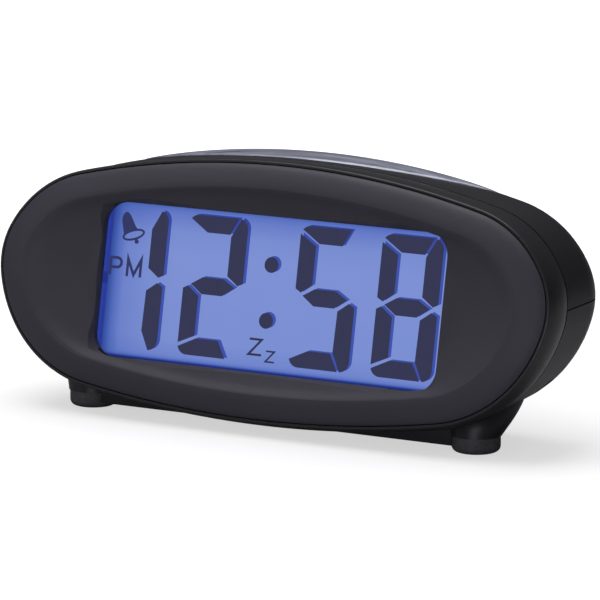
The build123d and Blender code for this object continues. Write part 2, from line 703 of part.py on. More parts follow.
with BuildPart() as lcd_segments:
    with BuildSketch(FACE.offset(SEGMENT_LAYER)) as shown:
        for x, letters in zip(DIGIT_CENTRES, SHOWN):
            with Locations((x, DIGIT_RISE)):
                add(figure(letters))
        colon_x, colon_y = COLON
        with Locations((colon_x, DIGIT_RISE + colon_y), (colon_x, DIGIT_RISE - colon_y)):
            Circle(2.05)
        with Locations((-44.3, 13.9)):
            add(bell())
        with Locations((-50.0, 0.9)):
            add(strokes(P_STROKES, SMALL_STROKE))
        with Locations((-48.0, 4.25)):
            add(half_ring(1.25, SMALL_STROKE))
        with Locations((-44.8, 0.9)):
            add(strokes(M_STROKES, SMALL_STROKE))
        with Locations((-6.0, -15.7)):
            add(strokes(Z_STROKES, 0.6))
        with Locations((-0.8, -17.2)):
            add(strokes(Z_STROKES, 0.45, 0.68))
    extrude(shown.sketch, amount=-0.08)
save(lcd_segments.part, "lcd_segments")

with BuildPart() as lcd_rear_glass:
    glass_middle = (0, GLASS_RISE - (GLASS[1] - REAR_GLASS_HEIGHT) / 2)
    slab(FACE.offset(REAR_GLASS), GLASS[0], REAR_GLASS_HEIGHT, -0.7, centre=glass_middle)
save(lcd_rear_glass.part, "lcd_rear_glass")

with BuildPart() as light_guide:
    slab(FACE.offset(LIGHT_GUIDE), *GUIDE, -2.4, centre=(0, -0.3), corner=0.8)
save(light_guide.part, "light_guide")

with BuildPart() as reflector_sheet:
    slab(FACE.offset(REFLECTOR), *GUIDE, -0.2, centre=(0, -0.3), corner=0.8)
save(reflector_sheet.part, "reflector_sheet")

with BuildPart() as backlight_leds:
    for side in (-1, 1):
        led_place = (side * (GUIDE[0] / 2 + 1.0), 0)
        slab(FACE.offset(LIGHT_GUIDE - 0.5), 1.6, 3.2, -1.4, centre=led_place, corner=0.2)
save(backlight_leds.part, "backlight_leds")

with BuildPart() as lcd_holder:
    slab(FACE.offset(HOLDER_FRONT), 111.6, 49.0, HOLDER_BACK - HOLDER_FRONT, centre=(0, 0.3), corner=5)
    slab(FACE.offset(STACK_FLANGE - TOUCH), 124, 30, HOLDER_BACK - STACK_FLANGE + TOUCH, corner=4)
    glass_floor = LIGHT_GUIDE + 0.1
    glass_pocket = (GLASS[0] + 0.4, GLASS[1] + 0.4)
    pocket_depth = glass_floor - HOLDER_FRONT
    slab(FACE.offset(HOLDER_FRONT), *glass_pocket, pocket_depth, (0, GLASS_RISE), 0, Mode.SUBTRACT)
    guide_pocket = (GUIDE[0] + 5.2, GUIDE[1] + 0.4)
    slab(FACE.offset(glass_floor), *guide_pocket, HOLDER_FLOOR - glass_floor, (0, -0.3), 0.8, Mode.SUBTRACT)
    slab(FACE.offset(glass_floor), 72, 1.9, HOLDER_BACK - glass_floor, (0, CONTACT_ROW), 0, Mode.SUBTRACT)
    columns(FACE.offset(HOLDER_BACK), four(*STACK_SCREW), SCREW_R + TOUCH, 3, mode=Mode.SUBTRACT)
save(lcd_holder.part, "lcd_holder")

with BuildPart() as zebra_strip:
    slab(FACE.offset(SEGMENT_LAYER), 70, 1.6, BOARD_FRONT + 0.02 - SEGMENT_LAYER, centre=(0, CONTACT_ROW))
save(zebra_strip.part, "zebra_strip")


# ---------------------------------------------------------------- main board
BOARD_BACK = BOARD_FRONT - BOARD
behind_board = Plane(origin=FACE.offset(BOARD_BACK).origin, x_dir=(1, 0, 0), z_dir=-FACE.z_dir)
with BuildPart() as main_board:
    slab(FACE.offset(BOARD_FRONT), 110, 37.6, -BOARD, centre=(0, 4.8), corner=1)
    slab(FACE.offset(BOARD_FRONT), 123, 30, -BOARD, corner=3)
    columns(FACE.offset(BOARD_FRONT), four(*STACK_SCREW), SCREW_R + TOUCH, -BOARD, mode=Mode.SUBTRACT)
save(main_board.part, "main_board")
save(screw_set(behind_board, four(*STACK_SCREW), 6.4), "display_screws")

with BuildPart() as clock_chip:
    columns(behind_board, [(-12, -2)], 7.5, 1.8)
    fillet(clock_chip.edges().sort_by(Axis.Y)[-1], radius=1.5)
save(clock_chip.part, "clock_chip")

with BuildPart() as quartz_crystal:
    slab(behind_board, 8.0, 3.2, 3.0, centre=(6, -6), corner=1.5)
save(quartz_crystal.part, "quartz_crystal")

with BuildPart() as capacitor:
    Cylinder(2.5, 7.0, align=(Align.CENTER, Align.CENTER, Align.MIN))
    fillet(capacitor.edges().sort_by(Axis.Z)[-1], radius=0.5)
save(copies(capacitor.part, behind_board, [(24, -4), (32, -4)]), "capacitors")

with BuildPart() as resistors:
    with BuildSketch(behind_board) as pads:
        with Locations((-36, 0)):
            with GridLocations(6, 5, 3, 3):
                Rectangle(3.2, 1.6)
    extrude(pads.sketch, amount=0.6)
save(resistors.part, "resistors")


# ---------------------------------------------------------------- rear controls
def rear_outward(depth):
    """Plane that faces out of the rear wall, this deep under its skin."""
    return Plane(origin=BACK.offset(depth).origin, x_dir=(1, 0, 0), z_dir=-BACK.z_dir)


for name, x in BUTTON_X.items():
    with BuildPart() as button:
        width, height, corner = BUTTON
        place = (x, CONTROL_RISE)
        slab(BACK.offset(-0.8), width, height, WALL + 1.0, centre=place, corner=corner)
        fillet(button.faces().sort_by(Axis.Y)[-1].edges(), radius=0.5)
        slab(BACK.offset(WALL + 0.2), width + 1.8, height + 1.6, 0.8, centre=place, corner=corner)
        columns(BACK.offset(WALL + 1.0), [place], 1.2, 1.6)
    save(button.part, name)

switch_middle = (SWITCH_X + SWITCH_TRAVEL / 2, CONTROL_RISE)
knob_place = (SWITCH_X, CONTROL_RISE)
with BuildPart() as alarm_switch_knob:
    slab(BACK.offset(-0.9), *SWITCH_KNOB, WALL + 1.1, centre=knob_place, corner=0.4)
    for rib in (-1.2, 0, 1.2):
        slab(BACK.offset(-0.9), 0.4, 4, 0.35, (SWITCH_X + rib, CONTROL_RISE), 0, Mode.SUBTRACT)
    slab(BACK.offset(WALL + 0.2), 10.6, 4.4, 0.7, centre=knob_place, corner=0.4)
    slab(BACK.offset(WALL + 0.9), 3.4, 3.4, 2.5, centre=knob_place, corner=0.4)
    slab(BACK.offset(WALL + 2.3), 1.7, 1.7, 2, knob_place, 0, Mode.SUBTRACT)
save(alarm_switch_knob.part, "alarm_switch_knob")

with BuildPart() as alarm_switch_lever:
    slab(BACK.offset(WALL + 2.35), 1.6, 1.6, CONTROL_BOARD - 3.5 - WALL - 2.35, centre=knob_place)
save(alarm_switch_lever.part, "alarm_switch_lever")

with BuildPart() as alarm_slide_switch:
    slab(BACK.offset(CONTROL_BOARD - 3.4), 9.4, 4.4, 3.4, centre=switch_middle, corner=0.3)
    slab(BACK.offset(CONTROL_BOARD - 3.4), 5.4, 2.0, 1.0, switch_middle, 0, Mode.SUBTRACT)
save(alarm_slide_switch.part, "alarm_slide_switch")

button_points = [(x, -CONTROL_RISE) for x in BUTTON_X.values()]
key_height = CONTROL_BOARD - WALL - 2.6 - BUTTON_TRAVEL - 0.1
save(copies(tact_switch(key_height), rear_outward(CONTROL_BOARD), button_points), "control_switches")

with BuildPart() as control_board:
    slab(BACK.offset(CONTROL_BOARD), 72, 12, BOARD, centre=(0, CONTROL_RISE), corner=1)
    columns(BACK.offset(CONTROL_BOARD), control_boss, SCREW_R + TOUCH, BOARD, mode=Mode.SUBTRACT)
save(control_board.part, "control_board")
save(screw_set(BACK.offset(CONTROL_BOARD + BOARD), control_boss, 5.8), "control_board_screws")


# ---------------------------------------------------------------- buzzer
with BuildPart() as buzzer_disc:
    columns(BACK.offset(4.02), [BUZZER], BUZZER_R, 0.25)
save(buzzer_disc.part, "buzzer_disc")

with BuildPart() as buzzer_ceramic:
    columns(BACK.offset(4.27), [BUZZER], BUZZER_R - 3, 0.2)
save(buzzer_ceramic.part, "buzzer_ceramic")


# ---------------------------------------------------------------- battery cells and contacts
def cell_end(side, y, reach):
    """Plane across a cell that faces the bay's side wall, this far from the bay's middle."""
    return Plane(origin=(side * reach, FACE_Y + y, CELL_Z), z_dir=(side, 0, 0))


cell_shoulder = BAY_X - CONTACT - TOUCH - CELL_NUB
with BuildPart() as aaa_cells:
    for side, y in zip((-1, 1), CELL_BACK):
        columns(cell_end(side, y, cell_shoulder), [(0, 0)], CELL_R, -CELL_LENGTH)
        columns(cell_end(side, y, cell_shoulder), [(0, 0)], 1.9, CELL_NUB)
save(aaa_cells.part, "aaa_cells")

spring_gap = 2 * BAY_X - 2 * CONTACT - CELL_LENGTH - CELL_NUB - 2 * TOUCH
contact_coil = coil(spring_gap - 1.0, 3, 2.6, 0.3)
with BuildPart() as battery_springs:
    for side, y in zip((1, -1), CELL_BACK):
        with Locations(cell_end(side, y, BAY_X - CONTACT - spring_gap + 0.45)):
            add(contact_coil)
save(battery_springs.part, "battery_springs")

with BuildPart() as battery_contacts:
    middle = FACE_Y + sum(CELL_BACK) / 2
    joined = Plane(origin=(BAY_X - TOUCH, middle, CELL_Z), x_dir=(0, 1, 0), z_dir=(-1, 0, 0))
    slab(joined, 18.0, 7.0, CONTACT - TOUCH)
    for y in CELL_BACK:
        single = Plane(origin=(TOUCH - BAY_X, FACE_Y + y, CELL_Z), x_dir=(0, 1, 0), z_dir=(1, 0, 0))
        slab(single, 7.6, 7.0, CONTACT - TOUCH)
save(battery_contacts.part, "battery_contacts")


# ---------------------------------------------------------------- case screws
screw_seat = Plane(origin=(0, FACE_Y, SCREW_SEAT), x_dir=(1, 0, 0), z_dir=(0, 0, -1))
seats = [(x, -y) for x, y in mirrored(*EAR_SCREW) + mirrored(*REAR_SCREW)]
save(screw_set(screw_seat, seats, 15.0), "case_screws")


# ---------------------------------------------------------------- leads
def on_board(x, rise, clear=0.7):
    """Point just behind the main board, at a place on the face plane."""
    return FACE.from_local_coords((x, rise, BOARD_BACK - clear))


def behind(x, back, height):
    """Point at a distance behind the face."""
    return Vector(x, FACE_Y + back, height)


def save_leads(paths, name, radius=0.5):
    """Insulated wires, one solid for each path."""
    with BuildPart() as leads:
        for path in paths:
            add(lead(*path, radius=radius))
    save(leads.part, name)


battery_paths = []
for side in (-1, 1):
    out = behind(side * (BAY_X + BAY_WALL + 0.8), 21, 15)
    turn = behind(side * 29, 16, 20)
    battery_paths.append((out, turn, on_board(side * 20, -11)))
save_leads(battery_paths, "battery_leads")

buzzer_paths = []
for shift in (0, 2.5):
    start = behind(-50.5 - shift, 31.0, 27)
    turn = behind(-47 - shift, 22, 32 + shift)
    buzzer_paths.append((start, turn, on_board(-44 - shift, 6)))
save_leads(buzzer_paths, "buzzer_leads")

snooze_paths = []
for x in (-2, 0, 2):
    snooze_paths.append((behind(x, 22, SNOOZE_BOARD_Z - 0.7), behind(x, 20, 51.5), on_board(x, 15, 0.8)))
save_leads(snooze_paths, "snooze_cable")

control_paths = []
for x in (-20, -18, -16, -14, -12):
    start = BACK.from_local_coords((x, 9, CONTROL_BOARD + BOARD + 0.7))
    control_paths.append((start, behind(x, 21, 44), on_board(x, 10, 0.8)))
save_leads(control_paths, "control_cable")
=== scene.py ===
import math

import bmesh
import bpy
import numpy as np
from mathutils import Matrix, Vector
from mathutils.bvhtree import BVHTree


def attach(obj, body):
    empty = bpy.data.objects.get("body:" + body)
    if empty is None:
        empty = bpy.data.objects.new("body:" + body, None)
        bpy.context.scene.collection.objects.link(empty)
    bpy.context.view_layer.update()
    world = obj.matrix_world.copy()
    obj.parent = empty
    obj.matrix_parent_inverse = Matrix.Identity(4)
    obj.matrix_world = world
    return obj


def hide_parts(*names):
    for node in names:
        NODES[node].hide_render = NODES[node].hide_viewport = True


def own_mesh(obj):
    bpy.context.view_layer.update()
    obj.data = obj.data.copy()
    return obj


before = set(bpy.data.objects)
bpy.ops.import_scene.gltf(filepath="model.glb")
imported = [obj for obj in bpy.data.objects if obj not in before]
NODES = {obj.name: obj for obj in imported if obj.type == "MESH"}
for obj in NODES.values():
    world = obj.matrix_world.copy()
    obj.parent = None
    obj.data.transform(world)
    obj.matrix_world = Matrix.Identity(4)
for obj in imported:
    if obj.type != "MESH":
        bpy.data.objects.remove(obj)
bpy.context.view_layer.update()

SCENE = bpy.context.scene

# The clock's face plane, in metres: middle of the outline and the face's lean.
FACE_MIDDLE = Vector((0.0, -0.0166, 0.0363))
FACE_LEAN = math.radians(11.5)
FACE_UP = Vector((0.0, math.sin(FACE_LEAN), math.cos(FACE_LEAN)))
FACE_OUT = Vector((0.0, -math.cos(FACE_LEAN), math.sin(FACE_LEAN)))

# Camera: direction from the face to the camera, distance, and the lens.
AZIMUTH = math.radians(30.0)
ELEVATION = math.radians(10.9)
DISTANCE = 1.35
FOCAL_LENGTH = 314.9
SENSOR = 36.0
SHIFT = (0.0587, -0.0083)


# ---------------------------------------------------------------- node helpers
class Shader:
    """A material's node tree, with short calls for the nodes used here."""

    def __init__(self, name):
        self.material = bpy.data.materials.new(name)
        self.material.use_nodes = True
        self.tree = self.material.node_tree
        self.tree.nodes.clear()
        self.output = self.node("ShaderNodeOutputMaterial")
        self.coords = self.node("ShaderNodeTexCoord").outputs["Object"]

    def node(self, kind, **settings):
        made = self.tree.nodes.new(kind)
        for key, value in settings.items():
            setattr(made, key, value)
        return made

    def link(self, source, target):
        self.tree.links.new(source, target)

    def feed(self, target, value):
        """Set an input from a number, a colour or another node's output."""
        if isinstance(value, bpy.types.NodeSocket):
            self.link(value, target)
        else:
            target.default_value = value

    def noise(self, scale, detail=3.0, rough=0.5, coords=None):
        made = self.node("ShaderNodeTexNoise")
        made.inputs["Scale"].default_value = scale
        made.inputs["Detail"].default_value = detail
        made.inputs["Roughness"].default_value = rough
        self.link(coords or self.coords, made.inputs["Vector"])
        return made.outputs["Fac"]

    def stretch(self, scale):
        """Coordinates scaled differently along each axis, for streaks."""
        made = self.node("ShaderNodeMapping")
        made.inputs["Scale"].default_value = scale
        self.link(self.coords, made.inputs["Vector"])
        return made.outputs["Vector"]

    def axes(self):
        """The object's X, Y and Z coordinates, in metres."""
        made = self.node("ShaderNodeSeparateXYZ")
        self.link(self.coords, made.inputs[0])
        return made.outputs["X"], made.outputs["Y"], made.outputs["Z"]

    def ramp(self, value, stops):
        """Colour or grey ramp over a value: a list of (place, colour)."""
        made = self.node("ShaderNodeValToRGB")
        ramp = made.color_ramp
        while len(ramp.elements) < len(stops):
            ramp.elements.new(0.5)
        for element, (place, colour) in zip(ramp.elements, stops):
            element.position = place
            if isinstance(colour, (int, float)):
                colour = (colour, colour, colour, 1.0)
            element.color = tuple(colour) if len(colour) == 4 else (*colour, 1.0)
        self.link(value, made.inputs["Fac"])
        return made.outputs["Color"]

    def math(self, operation, first, second=0.0):
        made = self.node("ShaderNodeMath", operation=operation)
        self.feed(made.inputs[0], first)
        self.feed(made.inputs[1], second)
        return made.outputs[0]

    def mix(self, factor, first, second):
        """Mix two colours; inputs 6 and 7 and output 2 are the node's colour sockets."""
        made = self.node("ShaderNodeMix", data_type="RGBA")
        self.feed(made.inputs["Factor"], factor)
        self.feed(made.inputs[6], first)
        self.feed(made.inputs[7], second)
        return made.outputs[2]

    def blend(self, factor, first, second):
        """Mix two shaders."""
        made = self.node("ShaderNodeMixShader")
        self.link(factor, made.inputs[0])
        self.link(first, made.inputs[1])
        self.link(second, made.inputs[2])
        return made.outputs[0]

    def transparent(self, colour=(1.0, 1.0, 1.0, 1.0)):
        made = self.node("ShaderNodeBsdfTransparent")
        self.feed(made.inputs["Color"], colour)
        return made.outputs[0]

    def emission(self, colour):
        made = self.node("ShaderNodeEmission")
        self.feed(made.inputs["Color"], colour)
        return made.outputs[0]

    def backfacing(self):
        return self.node("ShaderNodeNewGeometry").outputs["Backfacing"]

    def bump(self, height, distance, strength):
        made = self.node("ShaderNodeBump")
        made.inputs["Strength"].default_value = strength
        made.inputs["Distance"].default_value = distance
        self.link(height, made.inputs["Height"])
        return made.outputs["Normal"]

    def surface(self, shader):
        self.link(shader, self.output.inputs["Surface"])
        return self.material

    def principled(self, **values):
        """Principled shader; each input is named with underscores for its spaces."""
        made = self.node("ShaderNodeBsdfPrincipled")
        for key, value in values.items():
            self.feed(made.inputs[key.replace("_", " ")], value)
        return made.outputs["BSDF"]


def rgba(red, green, blue, alpha=1.0):
    return (red, green, blue, alpha)


def tint(colour, factor):
    return rgba(*[channel * factor for channel in colour[:3]])


# ---------------------------------------------------------------- materials
# Noise scales, in features per metre, and the depth of the moulded grain, in metres.
CLOUDING = 28.0
GLOSS_PATCHES = 90.0
FINE_GRAIN = 2600.0
GRAIN_DEPTH = 0.00002
GLOSS_SPREAD = 0.1


def moulded(name, colour, roughness, grain=FINE_GRAIN, depth=GRAIN_DEPTH, vary=0.15, ior=1.46):
    """Moulded plastic: spark-eroded grain, faint clouding and uneven gloss."""
    s = Shader(name)
    cloud = s.ramp(s.noise(CLOUDING, 4.0), [(0.3, 0.0), (0.7, 1.0)])
    base = s.mix(cloud, tint(colour, 1 - vary), tint(colour, 1 + vary))
    fine = s.noise(grain, 2.0, 0.6)
    coarse = s.noise(grain / 5, 2.0, 0.5)
    height = s.math("ADD", fine, s.math("MULTIPLY", coarse, 0.6))
    patches = s.math("MULTIPLY", s.noise(GLOSS_PATCHES, 3.0), GLOSS_SPREAD)
    gloss = s.math("ADD", roughness - GLOSS_SPREAD / 2, patches)
    return s.surface(s.principled(
        Base_Color=base, Roughness=gloss, IOR=ior, Normal=s.bump(height, depth, 0.5),
    ))


DRAWING_LINES = (40.0, 900.0, 900.0)


def metal(name, colour, roughness):
    """Plated or drawn metal with fine drawing lines and faint staining."""
    s = Shader(name)
    lines = s.noise(1.0, 3.0, 0.6, s.stretch(DRAWING_LINES))
    stain = s.ramp(s.noise(160.0, 3.0), [(0.35, 0.75), (0.65, 1.0)])
    base = s.mix(stain, tint(colour, 0.75), colour)
    gloss = s.math("ADD", roughness, s.math("MULTIPLY", lines, 0.15))
    return s.surface(s.principled(
        Base_Color=base, Metallic=1.0, Roughness=gloss, Normal=s.bump(lines, 0.00001, 0.4),
    ))


def rubber(name, colour):
    """Matt rubber with a pale dusting."""
    s = Shader(name)
    dust = s.ramp(s.noise(420.0, 4.0, 0.7), [(0.45, 0.0), (0.8, 1.0)])
    base = s.mix(dust, colour, tint(colour, 1.7))
    return s.surface(s.principled(
        Base_Color=base, Roughness=0.72, IOR=1.5,
        Normal=s.bump(s.noise(2400.0, 3.0), 2 * GRAIN_DEPTH, 0.6),
    ))


def laminate(name, mask, copper):
    """Circuit board: solder mask over a pattern of copper tracks."""
    s = Shader(name)
    brick = s.node("ShaderNodeTexBrick")
    brick.inputs["Scale"].default_value = 260.0
    brick.inputs["Mortar Size"].default_value = 0.06
    s.link(s.stretch((1.0, 1.0, 1.6)), brick.inputs["Vector"])
    tracks = brick.outputs["Fac"]
    weave = s.noise(1800.0, 2.0)
    base = s.mix(s.math("MULTIPLY", tracks, 0.7), mask, copper)
    base = s.mix(s.math("MULTIPLY", weave, 0.25), base, tint(mask, 0.6))
    return s.surface(s.principled(
        Base_Color=base, Roughness=0.35, Normal=s.bump(tracks, 0.00003, 0.5),
    ))


def assign(material, *names):
    for name in names:
        mesh = NODES[name].data
        mesh.materials.clear()
        mesh.materials.append(material)


bezel = moulded("bezel_plastic", rgba(0.033, 0.030, 0.044), 0.56, depth=0.00003, vary=0.08, ior=1.42)
housing = moulded("housing_plastic", rgba(0.012, 0.012, 0.015), 0.34, vary=0.08)
shell = moulded("shell_plastic", rgba(0.013, 0.013, 0.017), 0.42, vary=0.1, ior=1.36)
key = moulded("key_plastic", rgba(0.03, 0.03, 0.034), 0.4)
carrier = moulded("carrier_plastic", rgba(0.42, 0.43, 0.47), 0.45)
switch = moulded("switch_plastic", rgba(0.02, 0.02, 0.022), 0.5)
board = laminate("solder_mask", rgba(0.02, 0.12, 0.05), rgba(0.05, 0.22, 0.09))
wire = metal("spring_wire", rgba(0.55, 0.55, 0.57), 0.25)
plating = metal("screw_plating", rgba(0.42, 0.42, 0.44), 0.3)
nickel = metal("nickel", rgba(0.62, 0.60, 0.55), 0.22)

assign(bezel, "front_bezel")
assign(housing, "front_housing")
assign(shell, "top_shell", "bottom_shell", "battery_door")
assign(rubber("foot_rubber", rgba(0.05, 0.048, 0.058)), "front_feet", "rear_feet")
assign(key, "time_set_button", "alarm_set_button", "hour_button", "minute_button", "alarm_switch_knob")
assign(carrier, "snooze_carrier", "alarm_switch_lever")
assign(switch, "snooze_switches", "control_switches", "resistors")
assign(moulded("epoxy", rgba(0.006, 0.006, 0.006), 0.2, grain=500.0), "clock_chip")
assign(moulded("capacitor_sleeve", rgba(0.02, 0.035, 0.12), 0.3), "capacitors")
assign(moulded("conductive_rubber", rgba(0.35, 0.10, 0.18), 0.7), "zebra_strip")
assign(moulded("white_film", rgba(0.8, 0.82, 0.86), 0.5), "reflector_sheet")
assign(wire, "snooze_springs", "battery_springs")
assign(plating, "snooze_board_screws", "display_screws", "control_board_screws", "case_screws")
assign(nickel, "battery_contacts", "quartz_crystal", "alarm_slide_switch")
assign(metal("brass", rgba(0.68, 0.50, 0.22), 0.3), "buzzer_disc")
assign(moulded("piezo_ceramic", rgba(0.75, 0.74, 0.70), 0.5), "buzzer_ceramic")
assign(board, "snooze_board", "main_board", "control_board")
assign(moulded("red_insulation", rgba(0.40, 0.015, 0.015), 0.4), "battery_leads")
assign(moulded("black_insulation", rgba(0.012, 0.012, 0.012), 0.4), "buzzer_leads")
assign(moulded("grey_insulation", rgba(0.2, 0.2, 0.22), 0.4), "snooze_cable", "control_cable")


# ---------------------------------------------------------------- display
# How brightly the diffuser glows along its length and its height, as (place in mm, share).
GLOW_ACROSS = [
    (-53.0, 0.12), (-52.0, 0.33), (-50.9, 0.5), (-48.5, 0.8), (-46.0, 0.92), (-38.0, 0.98), (-30.0, 1.0),
    (51.0, 1.0), (53.0, 0.7),
]
GLOW_UP = [
    (-21.0, 0.1), (-20.0, 0.36), (-19.4, 0.83), (-18.5, 0.93), (-14.0, 0.985), (8.0, 1.0), (14.0, 0.97),
    (18.0, 0.88), (19.6, 0.82), (21.0, 0.6),
]
# Glow colours: the backlight plus painted room light, the reflected studio light painted into the emission.
GLOW_COLOURS = [
    (0.0, (0.003, 0.006, 0.05)), (0.35, (0.018, 0.032, 0.24)), (0.6, (0.053, 0.11, 0.42)),
    (0.8, (0.105, 0.175, 0.55)), (0.92, (0.175, 0.25, 0.63)), (1.0, (0.225, 0.31, 0.69)),
]
GLOW_MOTTLE = 0.02

# Holder and figures, in metres from the middle of the face.
POCKET_HALF_WIDTH = 0.054
POCKET_HALF_HEIGHT = 0.0215
SHADE_DEPTH = 0.00088  # the figures' shade falls on the diffuser this far behind them
SHADE_SHIFT = 0.00035  # and this far up and to the right
SHADE_LEVEL = -0.0055  # what lies behind this level is shade, and what lies before it is a figure
SHADE_TINT = rgba(0.5, 0.56, 0.8)
SYMBOLS_END = -0.0395  # the thin symbols left of here look lighter than the figures
SLEEP_MIDDLE = -0.003  # the pair of small letters below the colon
SLEEP_HALF_WIDTH = 0.0055
SLEEP_TOP = 0.0265  # above the table


def clear_sheet(name, tint_colour, gloss, index):
    """Thin clear sheet: light passes straight through, with a faint reflection on its outer side."""
    s = Shader(name)
    shine = s.node("ShaderNodeBsdfGlossy")
    shine.inputs["Roughness"].default_value = gloss
    fresnel = s.node("ShaderNodeFresnel")
    fresnel.inputs["IOR"].default_value = index
    smear = s.math("MULTIPLY", s.noise(60.0, 3.0), 0.006)
    outside = s.math("SUBTRACT", 1.0, s.backfacing())
    mirrored = s.math("MULTIPLY", s.math("ADD", fresnel.outputs[0], smear), outside)
    return s.surface(s.blend(mirrored, s.transparent(tint_colour), shine.outputs[0]))


def face_offsets(s):
    """Distances across, up and out of the clock's face, in metres, from an object's coordinates."""
    across, y, z = s.axes()
    back = s.math("SUBTRACT", y, FACE_MIDDLE.y)
    above = s.math("SUBTRACT", z, FACE_MIDDLE.z)

    def along(direction):
        return s.math("ADD", s.math("MULTIPLY", above, direction.z), s.math("MULTIPLY", back, direction.y))

    return across, along(FACE_UP), along(FACE_OUT)


def span_ramp(s, value, stops):
    """Ramp over a distance in metres, from stops whose places are in millimetres."""
    first, last = stops[0][0], stops[-1][0]
    share = s.math("DIVIDE", s.math("SUBTRACT", value, first / 1000), (last - first) / 1000)
    return s.ramp(share, [((place - first) / (last - first), level) for place, level in stops])


def backlight(name):
    """Backlit diffuser: blue, even in the middle and falling off to navy at its left and bottom edges; its
    glow also holds painted room light, standing in for the studio light the diffuser would reflect.
    """
    s = Shader(name)
    across, up, _ = face_offsets(s)
    glow = s.math("MULTIPLY", span_ramp(s, across, GLOW_ACROSS), span_ramp(s, up, GLOW_UP))
    mottle = s.math("MULTIPLY", s.math("SUBTRACT", s.noise(110.0, 3.0), 0.5), GLOW_MOTTLE)
    return s.surface(s.emission(s.ramp(s.math("ADD", glow, mottle), GLOW_COLOURS)))


def holder_with_painted_glow(name):
    """Pale moulded plastic with a painted blue glow over its pocket, standing in for the light from the
    diffuser's ends.
    """
    s = Shader(name)
    across, up, _ = face_offsets(s)
    in_width = s.math("LESS_THAN", s.math("ABSOLUTE", across), POCKET_HALF_WIDTH)
    in_height = s.math("LESS_THAN", s.math("ABSOLUTE", up), POCKET_HALF_HEIGHT)
    plastic = s.mix(s.noise(CLOUDING, 4.0), rgba(0.38, 0.39, 0.43), rgba(0.46, 0.47, 0.51))
    # Painted glow: blue emission over the pocket, for the diffuser's spill light.
    painted_spill_glow = s.mix(s.noise(GLOSS_PATCHES, 3.0), rgba(0.014, 0.027, 0.20), rgba(0.018, 0.033, 0.24))
    return s.surface(s.principled(
        Base_Color=plastic, Roughness=0.45, Normal=s.bump(s.noise(FINE_GRAIN, 2.0, 0.6), GRAIN_DEPTH, 0.5),
        Emission_Color=painted_spill_glow, Emission_Strength=s.math("MULTIPLY", in_width, in_height),
    ))


def liquid_crystal(name):
    """Dark figures that let a little of the backlight through, and their shade on the diffuser behind."""
    s = Shader(name)
    across, _, out = face_offsets(s)
    is_shade = s.math("LESS_THAN", out, SHADE_LEVEL)
    in_symbols = s.math("LESS_THAN", across, SYMBOLS_END)
    beside_sleep = s.math("ABSOLUTE", s.math("SUBTRACT", across, SLEEP_MIDDLE))
    in_sleep = s.math("LESS_THAN", beside_sleep, SLEEP_HALF_WIDTH)
    is_low = s.math("LESS_THAN", s.axes()[2], SLEEP_TOP)
    unshaded = s.math("MAXIMUM", in_symbols, s.math("MULTIPLY", in_sleep, is_low))
    leak = s.mix(s.noise(300.0, 3.0), rgba(0.036, 0.039, 0.088), rgba(0.042, 0.045, 0.098))
    leak = s.mix(in_symbols, leak, rgba(0.036, 0.044, 0.135))
    shade = s.transparent(s.mix(unshaded, SHADE_TINT, rgba(1.0, 1.0, 1.0)))
    return s.surface(s.blend(is_shade, s.emission(leak), shade))


assign(clear_sheet("window_acrylic", rgba(0.99, 0.99, 0.99), 0.05, 1.32), "window_lens")
assign(clear_sheet("front_polariser", rgba(0.99, 0.99, 1.0), 0.12, 1.08), "lcd_front_glass")
assign(clear_sheet("rear_polariser", rgba(0.99, 0.99, 1.0), 0.12, 1.05), "lcd_rear_glass")
assign(liquid_crystal("liquid_crystal"), "lcd_segments")
assign(backlight("backlit_acrylic_painted_room_light"), "light_guide")
assign(holder_with_painted_glow("holder_plastic"), "lcd_holder", "backlight_leds")

shade_copy = NODES["lcd_segments"].modifiers.new("shade", "ARRAY")
shade_copy.count = 2
shade_copy.use_relative_offset = False
shade_copy.use_constant_offset = True
sideways = Vector((SHADE_SHIFT, 0, 0))
shade_copy.constant_offset_displace = FACE_UP * SHADE_SHIFT - FACE_OUT * SHADE_DEPTH + sideways


# ---------------------------------------------------------------- snooze bar
STREAKS = (14.0, 520.0, 520.0)
FINE_STREAKS = (60.0, 2400.0, 2400.0)


def smoked_clear(name):
    """Polished smoke-tinted clear plastic with fine streaks along it; the pale tones of the streaks are
    painted light, standing in for studio light shining through the lens.
    """
    s = Shader(name)
    streaks = s.noise(1.0, 4.0, 0.65, s.stretch(STREAKS))
    fine = s.noise(1.0, 2.0, 0.6, s.stretch(FINE_STREAKS))
    streaks_and_painted_sheen = s.math("ADD", s.math("MULTIPLY", streaks, 0.7), s.math("MULTIPLY", fine, 0.3))
    # Painted light: the pale end of this ramp stands in for studio light shining through the lens; the
    # streak pattern itself is the plastic's own.
    tone = s.ramp(streaks_and_painted_sheen, [
        (0.30, (0.05, 0.052, 0.08)), (0.42, (0.18, 0.19, 0.26)), (0.56, (0.31, 0.32, 0.41)),
        (0.75, (0.50, 0.51, 0.62)),
    ])
    return s.surface(s.principled(
        Base_Color=tone, Roughness=0.3, Metallic=0.1, IOR=1.49, Coat_Weight=0.6, Coat_Roughness=0.06,
        Normal=s.bump(streaks, 0.00003, 0.3),
    ))


